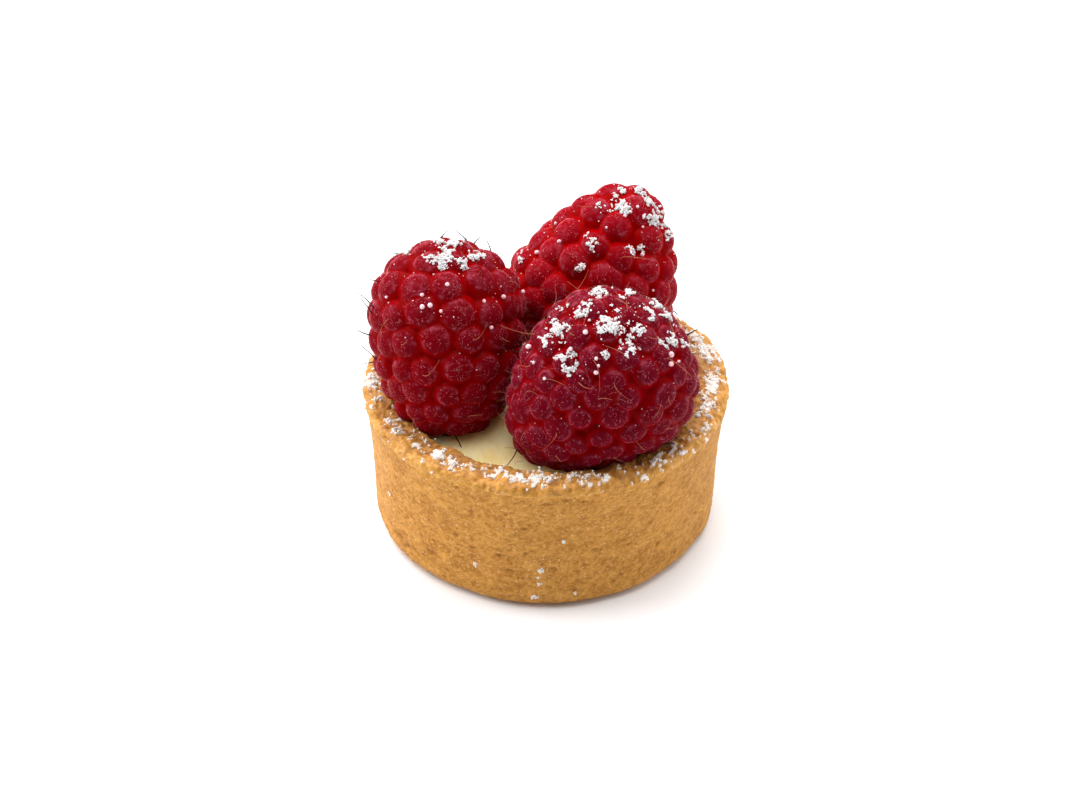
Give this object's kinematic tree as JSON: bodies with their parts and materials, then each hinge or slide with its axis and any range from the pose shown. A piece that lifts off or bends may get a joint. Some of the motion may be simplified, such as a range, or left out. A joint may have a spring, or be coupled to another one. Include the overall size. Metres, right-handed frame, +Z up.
{
  "type": "berry tart",
  "caption": "Small round shortcrust tart with straight sides, filled with pale pastry cream and topped with whole raspberries.",
  "frame": {"origin": "centre of the shell's flat underside", "axes": "+Z up out of the shell; -Y towards the side where the cream shows between two berries"},
  "size_m": [0.0462, 0.046, 0.0399],
  "materials": {
    "crust": "baked shortcrust pastry: matt, golden tan, finely grainy with small pores",
    "cream": "set pastry cream: smooth, pale yellow, softly glossy",
    "raspberry": "raspberry drupelets: translucent deep red with a thin grey-pink bloom and fine hairs",
    "sugar": "powdered sugar in small white clumps"
  },
  "bodies": {
    "root": {"crust": "crust", "cream": "cream", "berry_left": "raspberry", "berry_front": "raspberry", "berry_back": "raspberry"}
  },
  "joints": []
}
